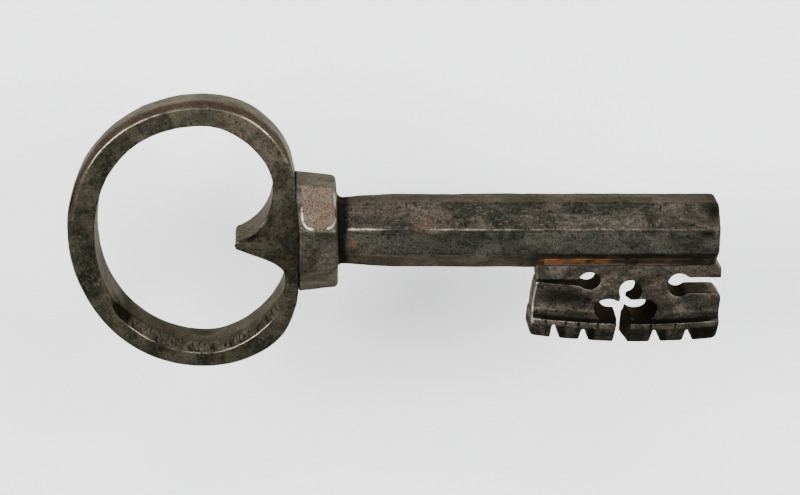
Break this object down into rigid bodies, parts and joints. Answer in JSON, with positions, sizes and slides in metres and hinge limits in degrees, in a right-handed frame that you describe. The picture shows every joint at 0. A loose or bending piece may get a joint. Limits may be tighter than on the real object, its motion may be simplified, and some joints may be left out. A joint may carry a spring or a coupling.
{
  "type": "pipe key",
  "caption": "Old iron pipe key with a kidney-shaped ring bow, an octagonal collar and shank, and a bit cut with keyhole and trefoil wards.",
  "frame": {"origin": "on the axis of the pipe, half way along the key, which is the middle of its box", "axes": "+X along the pipe from the bow to the bit, -Y the way the bit reaches, +Z the front face"},
  "size_m": [0.1106, 0.046, 0.0188],
  "materials": {
    "dark_iron": "hand-filed wrought iron, dark brown-grey patina with bright worn edges",
    "worn_iron": "paler rubbed iron with rust blotches and pits",
    "braze": "dull brazing metal stained with rust"
  },
  "bodies": {
    "root": {"bow": "dark_iron", "collar": "worn_iron", "pipe": "dark_iron", "bit": "dark_iron", "braze_front": "braze", "braze_back": "braze"}
  },
  "joints": []
}
